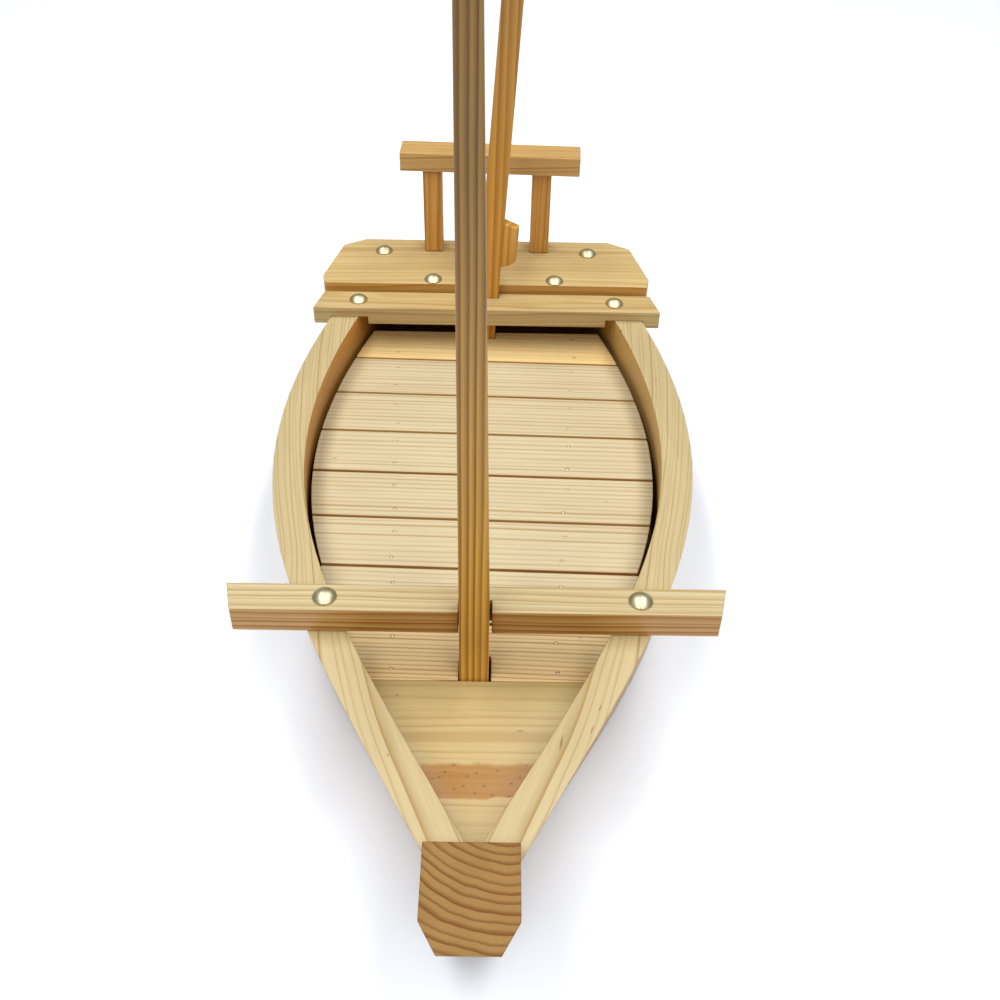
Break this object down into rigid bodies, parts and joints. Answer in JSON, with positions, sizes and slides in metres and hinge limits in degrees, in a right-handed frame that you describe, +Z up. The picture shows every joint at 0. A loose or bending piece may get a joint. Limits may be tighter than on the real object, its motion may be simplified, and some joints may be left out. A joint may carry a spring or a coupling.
{
  "type": "sushi boat",
  "caption": "Wooden serving boat with a slatted deck between curved sides, cross beams, a stern deck with a small gate, and a mast and an oar that lift out.",
  "frame": {"origin": "on the table, under the middle of the boat's length and breadth", "axes": "+Z up, -Y towards the bow, +Y towards the stern, +X to the right as seen from the bow looking aft"},
  "size_m": [0.2292, 0.4998, 0.39],
  "materials": {
    "hull_pine": "planed, satin lacquer",
    "deck_pine": "planed, satin lacquer",
    "stick_pine": "planed, satin lacquer",
    "stem_pine": "sawn end grain, satin lacquer",
    "nail_brass": "polished, nickel plated"
  },
  "bodies": {
    "hull": {"stem_post": "stem_pine", "left_side": "hull_pine", "right_side": "hull_pine", "bottom_board": "hull_pine", "transom": "hull_pine", "fore_board": "deck_pine", "deck_slat_1": "deck_pine", "deck_slat_2": "deck_pine", "deck_slat_3": "deck_pine", "deck_slat_4": "deck_pine", "deck_slat_5": "deck_pine", "deck_slat_6": "deck_pine", "deck_slat_7": "deck_pine", "deck_slat_8": "deck_pine", "left_deck_batten": "hull_pine", "right_deck_batten": "hull_pine", "front_deck_bearer": "hull_pine", "rear_deck_bearer": "hull_pine", "mast_step": "hull_pine", "front_beam": "hull_pine", "rear_beam": "hull_pine", "stern_deck": "hull_pine", "stern_bearer": "hull_pine", "left_gate_post": "stick_pine", "right_gate_post": "stick_pine", "gate_rail": "stick_pine", "left_front_nail": "nail_brass", "right_front_nail": "nail_brass", "left_rear_nail": "nail_brass", "right_rear_nail": "nail_brass", "left_aft_nail": "nail_brass", "right_aft_nail": "nail_brass", "left_deck_nail": "nail_brass", "right_deck_nail": "nail_brass"},
    "mast": {"mast": "stick_pine"},
    "oar": {"oar": "stick_pine", "oar_stop": "stick_pine"}
  },
  "joints": [
    {"name": "mast_lift", "type": "slide", "parent": "hull", "child": "mast", "axis": [0, 0, 1], "range_m": [0, 0.085]},
    {"name": "oar_lift", "type": "slide", "parent": "hull", "child": "oar", "axis": [0.064, 0, 0.9979], "range_m": [0, 0.085]}
  ]
}
